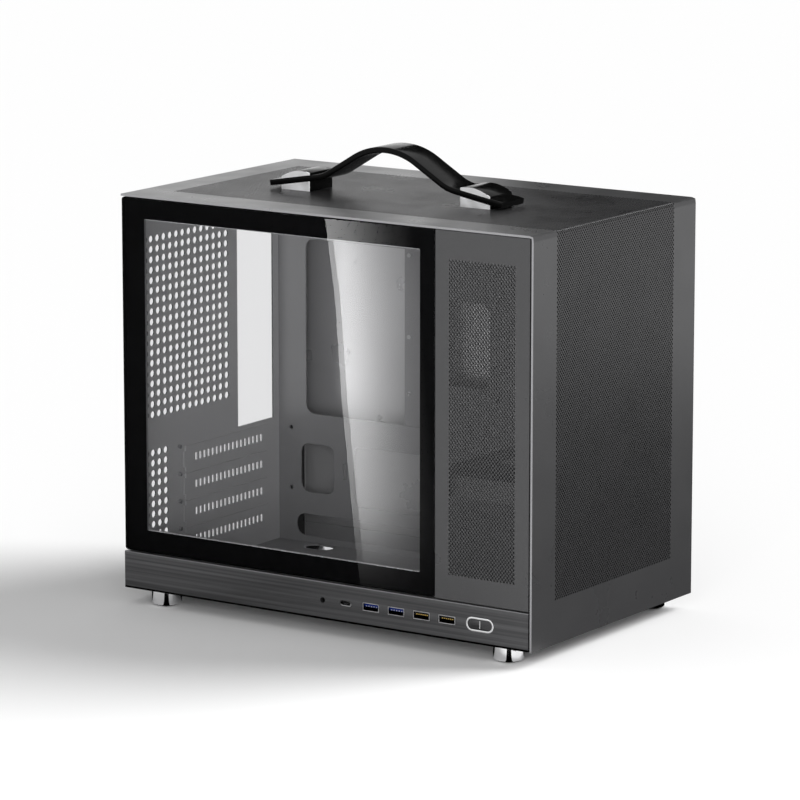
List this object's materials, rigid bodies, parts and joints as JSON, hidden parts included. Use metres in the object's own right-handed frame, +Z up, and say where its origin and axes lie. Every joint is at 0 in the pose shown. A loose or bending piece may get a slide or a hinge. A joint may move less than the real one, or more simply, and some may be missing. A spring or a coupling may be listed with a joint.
{
  "type": "computer case",
  "caption": "Compact desktop computer case with a glass side, perforated front and top in one folded sheet, a bottom bar with ports, a carry handle and round feet.",
  "frame": {"origin": "centre of the object's outline at floor height, under the foot pads", "axes": "+X from the rear panel to the perforated front, +Y from the glass side to the closed side, +Z up"},
  "size_m": [0.348, 0.212, 0.3326],
  "materials": {
    "panel_grey": "satin",
    "interior_grey": "satin",
    "tinted_glass": "polished",
    "black_border": "satin",
    "brushed_bar": "brushed",
    "chrome": "polished",
    "zinc_screw": "satin",
    "gloss_black": "gloss",
    "port_metal": "satin",
    "port_black": "satin",
    "port_blue": "satin",
    "board": "satin",
    "clip_plastic": "satin",
    "pad_rubber": "matt"
  },
  "bodies": {
    "chassis": {"audio_jack": "port_black", "base_pan": "interior_grey", "bottom_bar": "brushed_bar", "button_ring": "chrome", "drive_bracket": "interior_grey", "drive_bracket_screws": "zinc_screw", "foot_front_closed_side": "chrome", "foot_front_glass_side": "chrome", "foot_pad_front_closed_side": "pad_rubber", "foot_pad_front_glass_side": "pad_rubber", "foot_pad_rear_closed_side": "pad_rubber", "foot_pad_rear_glass_side": "pad_rubber", "foot_rear_closed_side": "chrome", "foot_rear_glass_side": "chrome", "front_frame": "interior_grey", "front_top_cover": "panel_grey", "glass_clips": "clip_plastic", "handle_block_front": "chrome", "handle_block_rear": "chrome", "handle_cap_front": "chrome", "handle_cap_rear": "chrome", "handle_screws": "zinc_screw", "handle_strap": "gloss_black", "io_board": "board", "io_board_pillars": "zinc_screw", "motherboard_tray": "interior_grey", "power_switch": "port_black", "psu_bracket": "interior_grey", "rear_panel": "panel_grey", "side_frame": "interior_grey", "side_mesh_panel": "panel_grey", "side_panel_clips": "clip_plastic", "slot_cover_1": "interior_grey", "slot_cover_2": "interior_grey", "slot_cover_3": "interior_grey", "slot_cover_4": "interior_grey", "slot_screws": "zinc_screw", "top_frame": "interior_grey", "usb_c_port": "port_metal", "usb_c_tongue": "port_black", "usb_shell_1": "port_metal", "usb_shell_2": "port_metal", "usb_shell_3": "port_metal", "usb_shell_4": "port_metal", "usb_tongue_1": "port_blue", "usb_tongue_2": "port_blue", "usb_tongue_3": "port_black", "usb_tongue_4": "port_black"},
    "power_button": {"power_button": "gloss_black"},
    "glass": {"glass_panel": "tinted_glass", "glass_strip_rear": "black_border", "glass_strip_front": "black_border", "glass_studs": "port_metal"},
    "side_panel": {"right_side_panel": "panel_grey", "side_panel_studs": "port_metal"}
  },
  "joints": [
    {"name": "power_button_press", "type": "slide", "parent": "chassis", "child": "power_button", "axis": [0, 1, 0], "range_m": [0, 0.0012], "stiffness_N_per_m": 1500},
    {"name": "glass_panel_pull", "type": "slide", "parent": "chassis", "child": "glass", "axis": [0, -1, 0], "range_m": [0, 0.06]},
    {"name": "side_panel_pull", "type": "slide", "parent": "chassis", "child": "side_panel", "axis": [0, 1, 0], "range_m": [0, 0.06]}
  ]
}
